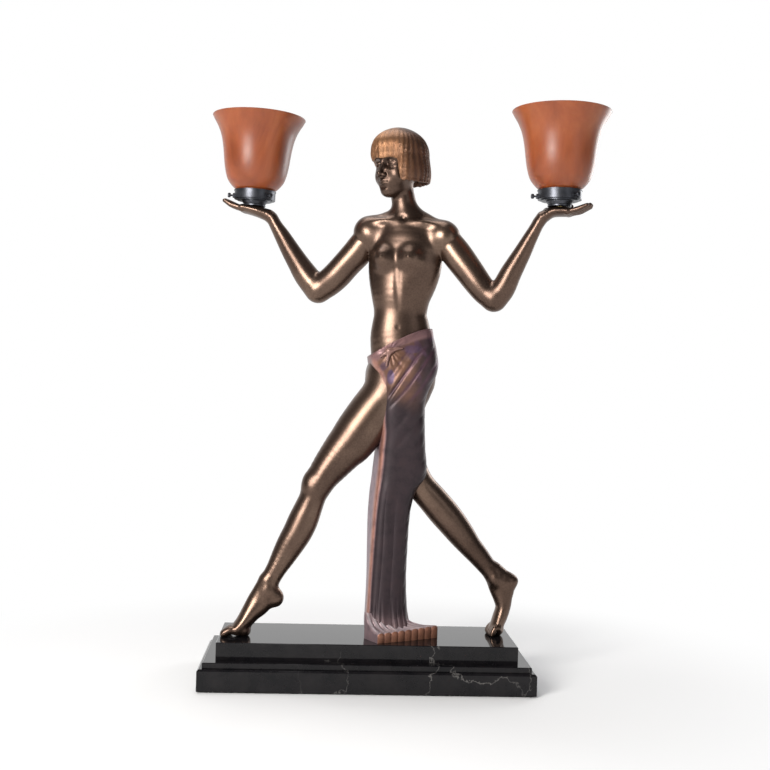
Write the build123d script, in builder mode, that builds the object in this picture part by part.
"""Figural table lamp.

A cast bronze figure strides across a stepped marble base and carries a glass shaded lamp on each
raised palm. Millimetres, +Z up, +X to the viewer's right, and the viewer stands on the -Y side.
The origin is the middle of the underside. Left and right are the figure's own sides, so the
figure's right hand is the one at -X.
"""
import os
from math import cos, pi, radians, sin

from build123d import *

os.makedirs("parts", exist_ok=True)

# ---------------------------------------------------------------- marble base
plinth_length = 464
plinth_depth = 192
plinth_height = 30
step_length = 451
step_depth = 179
step_height = 8
block_length = 418
block_depth = 140
block_height = 23.5
edge_bevel = 2.5
block_bevel = 0.8
felt_thickness = 1.5
felt_margin = 3

# ---------------------------------------------------------------- fixings in the base
stud_radius = 3
stud_clearance = 0.4
stud_in_casting = 9
nut_across_flats = 10
nut_height = 5
washer_radius = 8
washer_thickness = 1.6
recess_radius = 11
recess_depth = 13
wire_pipe_radius = 5
wire_pipe_bore = 3.6
wire_pipe_nut_flats = 14
wire_channel_width = 10
wire_channel_depth = 16
cord_bore = 4
bushing_radius = 6
bushing_collar = 8
bushing_collar_thickness = 3
bushing_length = 14
bushing_height = 10
stud_places = ((-172, -21), (191, 14), (62, -16))
wire_pipe_place = (27, 12)
wire_pipe_in_casting = 14

# ---------------------------------------------------------------- lamp fittings
collar_radius = 16.5
collar_flange_radius = 18.8
collar_height = 7.5
gallery_radius = 30.5
gallery_wall = 1.2
gallery_height = 13.2
gallery_floor = 1.6
gallery_lip = 0.8
gallery_step = 1.8
gallery_step_radius = 26
boss_radius = 3.6
boss_length = 2.4
screw_radius = 1.5
screw_clearance = 0.08
screw_stem = 3.2
screw_head_radius = 3.4
screw_head_length = 4.2
nipple_radius = 5
nipple_bore = 3.6
nipple_in_palm = 6
nipple_in_holder = 4
locknut_flats = 15
locknut_height = 3
holder_radius = 13
holder_height = 38
holder_base_height = 9
shell_wall = 0.5
shell_depth = 24
shell_recess = 2
cap_radius = 7
cap_length = 20
cap_clearance = 0.2
bulb_radius = 20
bulb_neck_radius = 9
bulb_length = 56
bulb_seat_gap = 0.6

# ---------------------------------------------------------------- glass shade
shade_neck_radius = 28.3
shade_wall = 3
shade_gap = 0.3
shade_height = 121.2
shade_neck_length = 12.4
shade_shoulder_radius = 31.7
shade_waist_radius = 49.5
shade_mouth_radius = 69

# ---------------------------------------------------------------- places of the chest and arms:
# (along the shoulder line to the figure's left, behind it, up from the marble)
shoulder_turn = 18.5
right_seat = (-236, 0, 621)
left_seat = (219.4, 0, 614.2)
right_shoulder = (-59.4, 0, 575.6)
right_elbow = (-132.2, 0, 495.3)
right_wrist = (-202.4, 0, 595.7)
right_palm_path = ((-212.5, 0, 606.5), (-229, 0, 611.4), (-248.4, 0, 615.9))
right_finger_bend = (-263, 0, 620.2)
right_finger_end = (-278, 0, 628.2)
left_shoulder = (62.5, 0, 570.8)
left_elbow = (132.2, 0, 487)
left_wrist = (188.7, 0, 589.1)
left_palm_path = ((199.3, 0, 603.1), (214.6, 0, 607.7), (237.4, 0, 607.2))
left_finger_bend = (250.6, 0, 609)
left_finger_end = (262.8, 0, 616)
right_breast = (-19, -24, 541)
left_breast = (22, -24, 541)
breast_radius = 15

right_lamp_lean = 1.8
left_lamp_lean = 0
right_screw_turn = 10
left_screw_turn = 0

# ---------------------------------------------------------------- places of the rest of the figure:
# (to the right of the middle, towards the back, up from the marble)
neck_base = (42, 2, 606)
skull_base = (32, 4, 646)
head_middle = (29, 0, 681)
gaze_turn = 230
head_height = 98
head_half_depth = 41
head_half_width = 34
hair_thickness = 6.5
hair_bottom = 652
fringe_height = 688

shoulder_radius = 23
upper_arm_radius = 20.3
elbow_radius = 18.5
forearm_radius = 16.8
wrist_radius = 9.6
palm_half_width = 17
palm_half_thickness = 8.5
finger_radius = 4.1
thumb_radius = 4.6

right_hip = (15, 0, 377)
right_knee = (-73, -10, 217)
right_ankle = (-141, -18, 77)
left_hip = (60, 4, 372)
left_knee = (60, 6, 234)
left_ankle = (178, 14, 94)
thigh_radius = 34
knee_radius = 21.5
calf_radius = 21.8
ankle_radius = 13.8
foot_half_width = 14
toe_radius = 4.6

waist_height = 457
waist_half_width = 38.5
hip_half_width = 49
chest_half_width = 57
chest_half_depth = 35

# ---------------------------------------------------------------- drapery
wrap_thickness = 2.2
wrap_bottom = 330
fall_half_depth = 30
fall_front = -24
pleat_count = 11
pleat_depth = 2.2
train_edge_height = 17
train_reach = 52

underside = felt_thickness
base_top = felt_thickness + plinth_height + step_height + block_height
shoulder_line = Plane(origin=(neck_base[0], neck_base[1], 0),
                      x_dir=(cos(radians(shoulder_turn)), -sin(radians(shoulder_turn)), 0), z_dir=(0, 0, 1))


def world(place):
    """A place given above the marble, as a point above the table."""
    return Vector(place[0], place[1], place[2] + base_top)


def on_shoulders(place):
    """A place given along the turned shoulder line, as a point above the table."""
    return shoulder_line.from_local_coords(world(place))


def between(start, end, share):
    """The place a share of the way from start to end."""
    return tuple(a + (b - a) * share for a, b in zip(start, end))


def headings(points):
    """The direction of a path at each of its points."""
    last = len(points) - 1
    return [points[min(i + 1, last)] - points[max(i - 1, 0)] for i in range(last + 1)]


def cast_form(stations, ruled=False):
    """A smooth tapering form through oval sections set square to its own path.

    Each station is a place, the half width front to back, and the half thickness seen from the
    front.
    """
    points = [world(place) for place, _, _ in stations]
    with BuildPart() as form:
        for point, heading, (_, half_width, half_thickness) in zip(points, headings(points), stations):
            with BuildSketch(Plane(origin=point, x_dir=(0, 1, 0), z_dir=heading)):
                Ellipse(half_width, half_thickness)
        loft(ruled=ruled)
    return form.part


def digit(path, radius):
    """A finger or a toe, round and a little tapered, with a rounded tip."""
    root, bend, tip = path
    stations = (
        (root, 1), (bend, 1), (between(bend, tip, 0.6), 0.88), (between(bend, tip, 0.9), 0.66),
        (tip, 0.25))
    return cast_form([(place, share * radius, share * radius) for place, share in stations], True)


def twisted_form(stations):
    """A smooth form through level oval sections: (middle, half length along turn, half width, turn)."""
    with BuildPart() as form:
        for place, half_along, half_across, turn in stations:
            along = (cos(radians(turn)), sin(radians(turn)), 0)
            with BuildSketch(Plane(origin=world(place), x_dir=along, z_dir=(0, 0, 1))):
                Ellipse(half_along, half_across)
        loft()
    return form.part


def upright_form(stations, turn=0):
    """A smooth form through level oval sections that all face one way."""
    return twisted_form([(*station, turn) for station in stations])


def largest(piece):
    """The casting itself, without the offcuts that a cut leaves."""
    return Part() + piece.solids().sort_by(SortBy.VOLUME)[-1]


def finish(piece, name):
    """Name a finished piece and write it out."""
    piece.label = name
    export_step(piece, f"parts/{name}.step")
    solids = piece.solids()
    print(f"{name:26s} solids {len(solids)}  volume {piece.volume / 1000:9.2f} cm3", flush=True)


def hexagon_across(flats):
    """The radius of a hexagon's corners, from the distance across its flats."""
    return flats / (2 * cos(pi / 6))


# ---------------------------------------------------------------- marble base
recess_top = underside + recess_depth
with BuildPart() as marble_plinth:
    with BuildSketch(Plane.XY.offset(underside)):
        Rectangle(plinth_length, plinth_depth)
    extrude(amount=plinth_height)
    chamfer(faces().sort_by(Axis.Z)[-1].edges(), edge_bevel)
    with BuildSketch(Plane.XY.offset(underside + plinth_height)):
        Rectangle(step_length, step_depth)
    extrude(amount=step_height)
    chamfer(faces().sort_by(Axis.Z)[-1].edges(), block_bevel)
    with BuildSketch(Plane.XY.offset(underside)):
        with Locations(*stud_places, wire_pipe_place):
            Circle(recess_radius)
    extrude(amount=recess_depth, mode=Mode.SUBTRACT)
    with BuildSketch(Plane.XY.offset(underside)):
        with Locations(*stud_places):
            Circle(stud_radius + stud_clearance)
        with Locations(wire_pipe_place):
            Circle(wire_pipe_radius + stud_clearance)
    extrude(amount=plinth_height + step_height, mode=Mode.SUBTRACT)
    channel_length = plinth_depth / 2 - bushing_length - wire_pipe_place[1]
    with BuildSketch(Plane.XY.offset(underside)):
        with Locations((wire_pipe_place[0], wire_pipe_place[1] + channel_length / 2)):
            Rectangle(wire_channel_width, channel_length)
    extrude(amount=wire_channel_depth, mode=Mode.SUBTRACT)
    rear = Plane(origin=(wire_pipe_place[0], plinth_depth / 2, underside + bushing_height),
                 x_dir=(1, 0, 0), z_dir=(0, 1, 0))
    with BuildSketch(rear):
        Circle(bushing_radius)
    extrude(amount=-bushing_length, mode=Mode.SUBTRACT)

with BuildPart() as cord_bushing:
    with BuildSketch(rear):
        Circle(bushing_radius)
    extrude(amount=-bushing_length)
    with BuildSketch(rear):
        Circle(bushing_collar)
    extrude(amount=bushing_collar_thickness)
    fillet(faces().sort_by(Axis.Y)[-1].edges(), 1)
    with BuildSketch(rear.offset(bushing_collar_thickness)):
        Circle(cord_bore)
    extrude(amount=-bushing_length - bushing_collar_thickness, mode=Mode.SUBTRACT)

with BuildPart() as marble_top_block:
    with BuildSketch(Plane.XY.offset(base_top - block_height)):
        Rectangle(block_length, block_depth)
        with Locations(*stud_places):
            Circle(stud_radius + stud_clearance, mode=Mode.SUBTRACT)
        with Locations(wire_pipe_place):
            Circle(wire_pipe_radius + stud_clearance, mode=Mode.SUBTRACT)
    extrude(amount=block_height)
    chamfer(faces().sort_by(Axis.Z)[-1].outer_wire().edges(), block_bevel)

with BuildPart() as felt_pad:
    with BuildSketch():
        RectangleRounded(plinth_length - 2 * felt_margin, plinth_depth - 2 * felt_margin, 6)
    extrude(amount=felt_thickness)

washer_bottom = recess_top - washer_thickness
nut_bottom = washer_bottom - nut_height
with BuildPart() as casting_washers:
    with BuildSketch(Plane.XY.offset(washer_bottom)):
        with Locations(*stud_places, wire_pipe_place):
            Circle(washer_radius)
        with Locations(*stud_places):
            Circle(stud_radius, mode=Mode.SUBTRACT)
        with Locations(wire_pipe_place):
            Circle(wire_pipe_radius, mode=Mode.SUBTRACT)
    extrude(amount=washer_thickness)

with BuildPart() as casting_nuts:
    with BuildSketch(Plane.XY.offset(nut_bottom)):
        with Locations(*stud_places):
            RegularPolygon(hexagon_across(nut_across_flats), 6)
            Circle(stud_radius, mode=Mode.SUBTRACT)
    extrude(amount=nut_height)

with BuildPart() as wire_pipe_nut:
    with BuildSketch(Plane.XY.offset(nut_bottom)):
        with Locations(wire_pipe_place):
            RegularPolygon(hexagon_across(wire_pipe_nut_flats), 6)
            Circle(wire_pipe_radius, mode=Mode.SUBTRACT)
    extrude(amount=nut_height)

with BuildPart() as casting_studs:
    with BuildSketch(Plane.XY.offset(nut_bottom - 1)):
        with Locations(*stud_places):
            Circle(stud_radius)
    extrude(amount=base_top + stud_in_casting - nut_bottom + 1)

with BuildPart() as wire_pipe:
    with BuildSketch(Plane.XY.offset(nut_bottom - 1)):
        with Locations(wire_pipe_place):
            Circle(wire_pipe_radius)
            Circle(wire_pipe_bore, mode=Mode.SUBTRACT)
    extrude(amount=base_top + wire_pipe_in_casting - nut_bottom + 1)

with BuildPart() as casting_sockets:
    add(casting_studs.part)
    with BuildSketch(Plane.XY.offset(base_top)):
        with Locations(wire_pipe_place):
            Circle(wire_pipe_radius)
    extrude(amount=wire_pipe_in_casting)

for piece, name in (
    (marble_plinth, "marble_plinth"), (marble_top_block, "marble_top_block"), (felt_pad, "felt_pad"),
    (cord_bushing, "cord_bushing"), (casting_washers, "casting_washers"), (casting_nuts, "casting_nuts"),
    (wire_pipe_nut, "wire_pipe_nut"), (casting_studs, "casting_studs"), (wire_pipe, "wire_pipe"),
):
    finish(piece.part, name)


# ---------------------------------------------------------------- figure castings
with BuildPart() as torso:
    add(twisted_form([
        ((40, 2, 362), hip_half_width - 6, 33, 0),
        ((40, 3, 392), hip_half_width, 37, 0),
        ((38.5, 2, 422), hip_half_width - 3, 33, 0),
        ((37, 0, waist_height), waist_half_width, 28, -0.1 * shoulder_turn),
        ((38.5, 1, 487), waist_half_width + 4, 30, -0.3 * shoulder_turn),
        ((42, 2, 522), chest_half_width - 4, chest_half_depth - 1, -0.65 * shoulder_turn),
        ((44, 2, 548), chest_half_width + 2, chest_half_depth - 2, -0.85 * shoulder_turn),
        ((44, 3, 576), chest_half_width - 1, chest_half_depth - 7, -shoulder_turn),
        ((43, 3, 596), 35, 21, -shoulder_turn),
        ((42, 3, 610), 21, 18, -shoulder_turn),
    ]))
    with Locations(on_shoulders(right_breast), on_shoulders(left_breast)):
        Sphere(breast_radius)

with BuildPart() as head:
    add(upright_form([
        (neck_base, 20, 19),
        (between(neck_base, skull_base, 0.5), 17.5, 16.5),
        (skull_base, 18, 17),
        (between(skull_base, head_middle, 0.6), 18, 17),
    ]))
    gaze = Vector(cos(radians(gaze_turn)), sin(radians(gaze_turn)), 0)
    chin = world(head_middle).Z - base_top - 0.55 * head_height
    skull_stations = []
    for share, forward, depth, width in (
        (0.02, 27, 7, 8),
        (0.10, 21, 17, 18),
        (0.24, 13, 26, 26),
        (0.42, 5, 35, 32),
        (0.60, 1, 40, 34),
        (0.78, -1, 37, 31),
        (0.91, -2, 26, 23),
        (0.99, -2, 9, 8),
    ):
        middle = Vector(*head_middle) + gaze * forward
        level = (middle.X, middle.Y, chin + share * head_height)
        skull_stations.append((level, depth * head_half_depth / 41, width * head_half_width / 34))
    add(upright_form(skull_stations, gaze_turn))
    add(torso.part, mode=Mode.SUBTRACT)
head_casting = largest(head.part)

with BuildPart() as hair_cap:
    hair_middle = Vector(*head_middle) - gaze * 1.5
    hair_stations = []
    hair_rise = head_middle[2] + 0.45 * head_height + hair_thickness - hair_bottom
    for share, depth, width in (
        (0.0, 1.02, 1.12),
        (0.18, 1.12, 1.20),
        (0.45, 1.16, 1.20),
        (0.66, 1.12, 1.16),
        (0.84, 0.92, 0.95),
        (0.95, 0.60, 0.62),
        (1.0, 0.22, 0.22),
    ):
        level = (hair_middle.X, hair_middle.Y, hair_bottom + share * hair_rise)
        hair_stations.append((level, depth * head_half_depth, width * head_half_width))
    add(upright_form(hair_stations, gaze_turn))
    face_side = Plane(origin=world(head_middle) + gaze * 20, x_dir=(0, 0, 1), z_dir=gaze)
    with BuildSketch(face_side):
        with Locations((fringe_height - head_middle[2] - 60, 0)):
            Rectangle(120, 2 * head_half_width - 8)
    extrude(amount=60, mode=Mode.SUBTRACT)
    add(head_casting, mode=Mode.SUBTRACT)


def arm(shoulder, elbow, wrist, palm_path, finger_bend, finger_end, seat_cut):
    """One arm casting: upper arm, forearm, open palm, four fingers and the thumb."""
    upper = cast_form([
        (between(shoulder, elbow, -0.04), 0.8 * shoulder_radius, 0.8 * shoulder_radius),
        (between(shoulder, elbow, 0.10), shoulder_radius - 1, shoulder_radius - 1),
        (between(shoulder, elbow, 0.40), upper_arm_radius, upper_arm_radius),
        (between(shoulder, elbow, 0.75), upper_arm_radius - 0.8, upper_arm_radius - 0.8),
        (between(shoulder, elbow, 0.93), elbow_radius - 0.5, elbow_radius - 0.3),
        (between(shoulder, elbow, 1.04), 0.8 * elbow_radius, 0.8 * elbow_radius),
    ])
    heel, palm, knuckles = palm_path
    lower = cast_form([
        (between(elbow, wrist, -0.03), 0.8 * elbow_radius, 0.8 * elbow_radius),
        (between(elbow, wrist, 0.08), elbow_radius - 1, elbow_radius - 1),
        (between(elbow, wrist, 0.22), forearm_radius, forearm_radius),
        (between(elbow, wrist, 0.60), 0.80 * forearm_radius, 0.80 * forearm_radius),
        (wrist, 1.1 * wrist_radius, wrist_radius),
        (heel, 0.82 * palm_half_width, palm_half_thickness + 1),
        (palm, palm_half_width, palm_half_thickness),
        (knuckles, palm_half_width, 0.72 * palm_half_thickness),
    ])
    with BuildPart() as casting:
        add(upper)
        add(lower)
        with Locations(world(shoulder)):
            Sphere(shoulder_radius)
        with Locations(world(elbow)):
            Sphere(elbow_radius)
        for finger in range(4):
            across = (finger - 1.5) * 2 * (palm_half_width - finger_radius) / 3
            reach = 1 - 0.12 * abs(finger - 1.7)
            end = between(finger_bend, finger_end, reach)
            path = [between(palm, knuckles, 0.8), finger_bend, end]
            add(digit([(x, y + across, z + 0.1 * across) for x, y, z in path], finger_radius))
        thumb_root = between(heel, palm, 0.3)
        thumb_tip = between(palm, finger_bend, 0.55)
        add(digit([
            (thumb_root[0], thumb_root[1] + 9, thumb_root[2]),
            (palm[0], palm[1] + palm_half_width + 1, palm[2] + 2),
            (thumb_tip[0], thumb_tip[1] + palm_half_width + 5, thumb_tip[2] + 6),
        ], thumb_radius))
    with BuildPart() as fitted:
        add(casting.part.moved(shoulder_line.location))
        add(torso.part, mode=Mode.SUBTRACT)
        add(seat_cut, mode=Mode.SUBTRACT)
    return largest(fitted.part)


def seat_plane(seat, lean):
    """The plane of a palm's lamp seat, facing up along the lamp's own axis."""
    return Plane(origin=on_shoulders(seat), x_dir=(cos(radians(lean)), 0, -sin(radians(lean))),
                 z_dir=(sin(radians(lean)), 0, cos(radians(lean))))


def seat_cutter(seat):
    """The room that a lamp's collar and its threaded tube take out of the hand."""
    with BuildPart() as cutter:
        with BuildSketch(seat):
            Circle(collar_radius + 4)
        extrude(amount=20)
        with BuildSketch(seat.offset(-nipple_in_palm)):
            Circle(nipple_radius)
        extrude(amount=nipple_in_palm)
    return cutter.part


right_seat_plane = seat_plane(right_seat, right_lamp_lean)
left_seat_plane = seat_plane(left_seat, left_lamp_lean)

right_arm = arm(
    right_shoulder, right_elbow, right_wrist, right_palm_path, right_finger_bend, right_finger_end,
    seat_cutter(right_seat_plane))
left_arm = arm(
    left_shoulder, left_elbow, left_wrist, left_palm_path, left_finger_bend, left_finger_end,
    seat_cutter(left_seat_plane))


def leg(hip, knee, ankle, thigh_scale, foot_stations, toe_path, toe_count=5):
    """One leg casting, from the hip to the toes, its toes cut level on the marble."""
    thigh = cast_form([
        (between(hip, knee, -0.03), 0.85 * thigh_radius, 0.8 * thigh_radius),
        (between(hip, knee, 0.12), thigh_radius, thigh_scale * thigh_radius),
        (between(hip, knee, 0.40), 0.96 * thigh_radius, 0.96 * thigh_scale * thigh_radius),
        (between(hip, knee, 0.70), 0.82 * thigh_radius, 0.82 * thigh_scale * thigh_radius),
        (between(hip, knee, 0.93), knee_radius + 1, knee_radius + 1),
        (between(hip, knee, 1.03), 0.8 * knee_radius, 0.8 * knee_radius),
    ])
    shin = cast_form([
        (between(knee, ankle, -0.03), 0.8 * knee_radius, 0.8 * knee_radius),
        (between(knee, ankle, 0.08), knee_radius - 1, knee_radius - 1),
        (between(knee, ankle, 0.38), calf_radius, calf_radius),
        (between(knee, ankle, 0.66), 0.84 * calf_radius, 0.84 * calf_radius),
        (between(knee, ankle, 0.95), ankle_radius, ankle_radius),
        (between(knee, ankle, 1.20), 0.7 * ankle_radius, 0.7 * ankle_radius),
    ])
    with BuildPart() as casting:
        add(thigh)
        with Locations(world(knee)):
            Sphere(knee_radius)
        add(shin)
        add(cast_form(foot_stations))
        for toe in range(toe_count):
            across = (toe - (toe_count - 1) / 2) * 2 * foot_half_width / toe_count
            add(digit([(x, y + across, z) for x, y, z in toe_path], toe_radius))
        add(torso.part, mode=Mode.SUBTRACT)
        split(bisect_by=Plane.XY.offset(base_top), keep=Keep.TOP)
        add(casting_sockets.part, mode=Mode.SUBTRACT)
    return largest(casting.part)


right_leg = leg(right_hip, right_knee, right_ankle, 0.96, [
    ((-118, -18, 50), 8, 6),
    ((-128, -18, 48), foot_half_width - 2, 11),
    ((-143, -18, 46), foot_half_width - 1, 17),
    ((-157, -19, 37), foot_half_width, 16),
    ((-168, -20, 27), foot_half_width + 1, 13.5),
    ((-178, -21, 16), foot_half_width + 2, 10),
    ((-186, -21, 9), foot_half_width + 1, 6),
], [(-180, -21, 12), (-191, -22, 5), (-202, -22, 3.5)])

whole_left_leg = leg(left_hip, left_knee, left_ankle, 0.88, [
    ((216, 14, 88), 7, 4),
    ((208, 14, 80), foot_half_width - 3, 10),
    ((200, 14, 68), foot_half_width - 2, 17),
    ((198, 14, 53), foot_half_width - 1, 14),
    ((198, 14, 40), foot_half_width, 11),
    ((195, 14, 28), foot_half_width + 1, 11.5),
    ((190, 14, 18), foot_half_width + 1, 9.5),
    ((188, 14, 10), foot_half_width, 7),
], [(192, 14, 14), (188, 14, 5), (181, 14, 3.5)])
left_leg = largest(whole_left_leg - right_leg)


# ---------------------------------------------------------------- drapery castings
with BuildPart() as hip_wrap:
    add(upright_form([
        ((40, 3, wrap_bottom), hip_half_width - 4, 36),
        ((41, 3, 362), hip_half_width - 0.5, 38.5),
        ((41.5, 3, 385), hip_half_width + wrap_thickness - 0.5, 39.5),
        ((40, 2, 412), hip_half_width + wrap_thickness, 37),
        ((38.5, 1, 432), hip_half_width - 4 + wrap_thickness, 33),
        ((37.5, 0, 448), waist_half_width + 3 + wrap_thickness, 30),
    ]))
    wrap_top = Plane(origin=world((40, 0, 424)), x_dir=(1, 0, 0.45), z_dir=(-0.45, 0, 1))
    split(bisect_by=wrap_top, keep=Keep.BOTTOM)
    add(torso.part, mode=Mode.SUBTRACT)
    add(right_leg, mode=Mode.SUBTRACT)
    add(whole_left_leg, mode=Mode.SUBTRACT)


def pleated(plane, half_width, half_depth):
    """A closed section whose rim goes in and out pleat by pleat."""
    rim = []
    for i in range(2 * pleat_count):
        turn = pi * (i + 0.5) / pleat_count
        inset = pleat_depth * (i % 2)
        rim.append(((half_width - inset) * cos(turn), (half_depth - inset) * sin(turn)))
    with BuildSketch(plane) as section:
        Polygon(*rim, align=None)
    return section.sketch


fall_middle_y = fall_front + fall_half_depth
fall_stations = [
    (0, 28, 33, 4), (45, 27, 30, 1), (110, 25.5, 29.5, -1), (170, 26, 31, -2),
    (215, 32, 34, -3), (250, 39, 37, -2), (wrap_bottom, 45, 30, 3),
]
with BuildPart() as drape_fall:
    loft([
        pleated(Plane((middle_x, fall_middle_y, base_top + height)), half_width, fall_half_depth + extra)
        for height, middle_x, half_width, extra in fall_stations
    ])
    add(right_leg, mode=Mode.SUBTRACT)
    add(whole_left_leg, mode=Mode.SUBTRACT)
    add(casting_sockets.part, mode=Mode.SUBTRACT)
fall_casting = largest(drape_fall.part)

with BuildPart() as drape_train:
    with BuildSketch(Plane.XY.offset(base_top)):
        with BuildLine():
            Polyline((-1, -6), (15.7, fall_front - train_reach * 0.67), (101, -12), (96, 4), (40, 10), (-1, -6))
        make_face()
    extrude(amount=40)
    train_slope = Plane(origin=(15.7, -59, base_top + train_edge_height),
                        x_dir=(86, 47, 6), z_dir=(-0.12, -0.18, 1))
    split(bisect_by=train_slope, keep=Keep.BOTTOM)
    add(fall_casting, mode=Mode.SUBTRACT)
    add(casting_sockets.part, mode=Mode.SUBTRACT)

finish(torso.part, "torso")
finish(head_casting, "head")
finish(hair_cap.part, "hair_cap")
finish(right_arm, "right_arm")
finish(left_arm, "left_arm")
finish(right_leg, "right_leg")
finish(left_leg, "left_leg")
finish(hip_wrap.part, "hip_wrap")
finish(fall_casting, "drape_fall")
finish(drape_train.part, "drape_train")


# ---------------------------------------------------------------- lamps
floor_bottom = collar_height
floor_top = floor_bottom + gallery_floor
ledge_bottom = floor_bottom + gallery_step
ledge_top = ledge_bottom + gallery_floor
gallery_top = ledge_bottom + gallery_height
screw_height = ledge_bottom + boss_radius + 0.5
screw_tip = shade_neck_radius + shade_gap
boss_end = gallery_radius + boss_length
holder_bottom = floor_top + locknut_height
holder_top = holder_bottom + holder_height
shell_top = holder_top - shell_recess
shell_radius = cap_radius + cap_clearance + shell_wall
cap_bottom = holder_top - cap_length
shade_bottom = ledge_top + shade_gap


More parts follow.
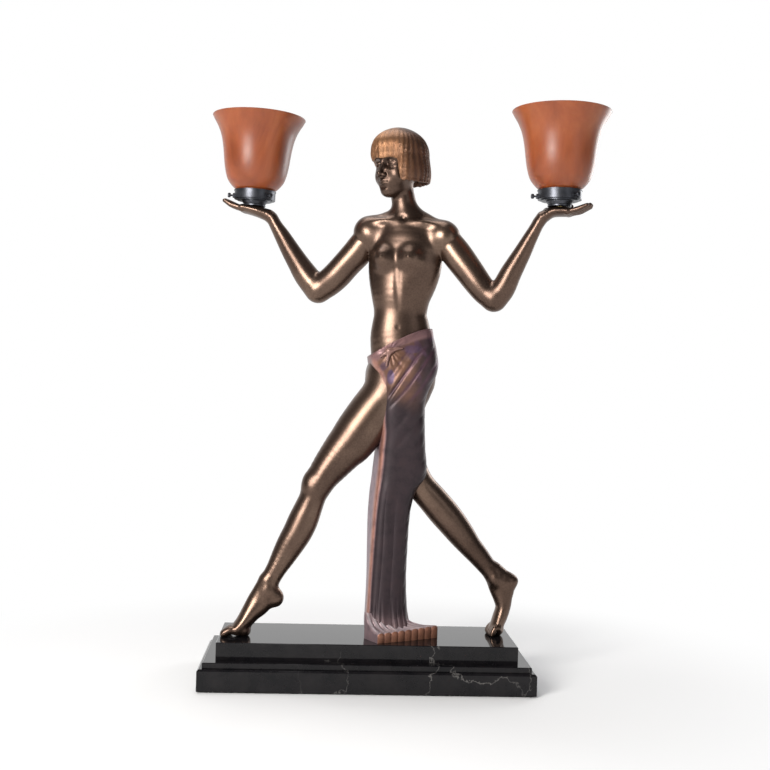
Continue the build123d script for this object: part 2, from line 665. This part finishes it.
def lamp(side, seat, screw_turn):
    """The fittings, bulb and shade that stand on one palm, all about the seat's own axis."""
    axis = Axis(seat.origin, seat.z_dir)
    profile = Plane(origin=seat.origin, x_dir=seat.x_dir, z_dir=-seat.y_dir)

    def turned(outline):
        with BuildPart() as piece:
            with BuildSketch(profile):
                with BuildLine():
                    Polyline(*outline, close=True)
                make_face()
            revolve(axis=axis)
        return piece.part

    def screw_plane(angle):
        turn = radians(angle + screw_turn)
        outward = seat.x_dir * cos(turn) + seat.y_dir * sin(turn)
        return Plane(origin=seat.origin + seat.z_dir * screw_height, x_dir=seat.z_dir, z_dir=outward)

    screw_planes = [screw_plane(angle) for angle in (180, 300, 60)]

    finish(turned([
        (nipple_radius, 0), (collar_radius, 0), (collar_radius, 1.5), (collar_radius - 0.6, 2.5),
        (collar_flange_radius - 0.6, collar_height - 2), (collar_flange_radius, collar_height - 1.2),
        (collar_flange_radius, collar_height), (nipple_radius, collar_height),
    ]), f"{side}_collar")

    with BuildPart() as gallery:
        add(turned([
            (nipple_radius, floor_bottom), (gallery_step_radius, floor_bottom),
            (gallery_step_radius, ledge_bottom), (gallery_radius, ledge_bottom),
            (gallery_radius, gallery_top - gallery_lip), (gallery_radius + gallery_lip, gallery_top - gallery_lip),
            (gallery_radius + gallery_lip, gallery_top), (gallery_radius - gallery_wall, gallery_top),
            (gallery_radius - gallery_wall, ledge_top), (gallery_step_radius - gallery_wall, ledge_top),
            (gallery_step_radius - gallery_wall, floor_top), (nipple_radius, floor_top),
        ]))
        for plane in screw_planes:
            with BuildSketch(plane.offset(gallery_radius - gallery_wall / 2)):
                Circle(boss_radius)
            extrude(amount=boss_length + gallery_wall / 2)
        for plane in screw_planes:
            with BuildSketch(plane.offset(shade_neck_radius)):
                Circle(screw_radius + screw_clearance)
            extrude(amount=boss_end - shade_neck_radius + 1, mode=Mode.SUBTRACT)
    finish(gallery.part, f"{side}_gallery")

    for number, plane in enumerate(screw_planes, 1):
        head_start = boss_end + screw_stem
        with BuildPart() as thumb_screw:
            with BuildSketch(Plane(origin=plane.origin, x_dir=plane.x_dir, z_dir=plane.y_dir)):
                with BuildLine():
                    Polyline(
                        (0, -screw_tip), (screw_radius, -screw_tip), (screw_radius, -head_start),
                        (screw_head_radius - 0.8, -head_start), (screw_head_radius, -head_start - 1.2),
                        (screw_head_radius, -head_start - screw_head_length + 0.6),
                        (screw_head_radius - 0.8, -head_start - screw_head_length),
                        (0, -head_start - screw_head_length), close=True)
                make_face()
            revolve(axis=Axis(plane.origin, plane.z_dir))
        finish(thumb_screw.part, f"{side}_thumb_screw_{number}")

    finish(turned([
        (nipple_bore, -nipple_in_palm), (nipple_radius, -nipple_in_palm),
        (nipple_radius, holder_bottom + nipple_in_holder), (nipple_bore, holder_bottom + nipple_in_holder),
    ]), f"{side}_threaded_tube")

    with BuildPart() as locknut:
        with BuildSketch(seat.offset(floor_top)):
            RegularPolygon(hexagon_across(locknut_flats), 6)
            Circle(nipple_radius, mode=Mode.SUBTRACT)
        extrude(amount=locknut_height)
    finish(locknut.part, f"{side}_locknut")

    finish(turned([
        (nipple_radius, holder_bottom), (holder_radius - 2, holder_bottom),
        (holder_radius, holder_bottom + 2), (holder_radius, holder_bottom + holder_base_height),
        (holder_radius - 1, holder_bottom + holder_base_height + 1), (holder_radius - 1, holder_top),
        (shell_radius, holder_top), (shell_radius, shell_top - shell_depth),
        (nipple_bore, shell_top - shell_depth), (nipple_bore, holder_bottom + nipple_in_holder),
        (nipple_radius, holder_bottom + nipple_in_holder),
    ]), f"{side}_lampholder")

    finish(turned([
        (shell_radius - shell_wall, shell_top - shell_depth), (shell_radius, shell_top - shell_depth),
        (shell_radius, shell_top), (shell_radius - shell_wall, shell_top),
    ]), f"{side}_contact_shell")

    finish(turned([
        (0, cap_bottom), (cap_radius - 4, cap_bottom), (cap_radius, cap_bottom + 3),
        (cap_radius, holder_top + bulb_seat_gap), (0, holder_top + bulb_seat_gap),
    ]), f"{side}_bulb_cap")

    glass_bottom = holder_top + bulb_seat_gap
    with BuildPart() as bulb_glass:
        with BuildSketch(profile):
            with BuildLine():
                globe_height = glass_bottom + bulb_length - bulb_radius
                foot = Line((0, glass_bottom), (bulb_neck_radius, glass_bottom))
                neck = Line(foot @ 1, (bulb_neck_radius, glass_bottom + 6))
                belly = Spline(neck @ 1, (bulb_radius, globe_height), tangents=((0, 1), (0, 1)))
                crown = RadiusArc(belly @ 1, (0, glass_bottom + bulb_length), -bulb_radius)
                Line(crown @ 1, (0, glass_bottom))
            make_face()
        revolve(axis=axis)
    finish(bulb_glass.part, f"{side}_bulb_glass")

    flare = [
        (shade_neck_radius, shade_neck_length), (shade_shoulder_radius, shade_neck_length + 2),
        (0.88 * shade_waist_radius, shade_neck_length + 20), (shade_waist_radius, 0.5 * shade_height),
        (1.1 * shade_waist_radius, 0.74 * shade_height), (0.90 * shade_mouth_radius, 0.88 * shade_height),
        (shade_mouth_radius, shade_height),
    ]
    with BuildPart() as shade:
        with BuildSketch(profile):
            with BuildLine():
                outer = [(radius, shade_bottom + height) for radius, height in flare]
                inner = [(radius - shade_wall, height) for radius, height in outer]
                Line(inner[0], outer[0])
                Spline(*outer)
                Line(outer[-1], inner[-1])
                Spline(*inner)
            make_face()
        revolve(axis=axis)
    finish(shade.part, f"{side}_shade")

    finish(turned([
        (shade_neck_radius - shade_wall, shade_bottom), (shade_neck_radius, shade_bottom), outer[0], inner[0],
    ]), f"{side}_shade_neck")


lamp("right", right_seat_plane, right_screw_turn)
lamp("left", left_seat_plane, left_screw_turn)
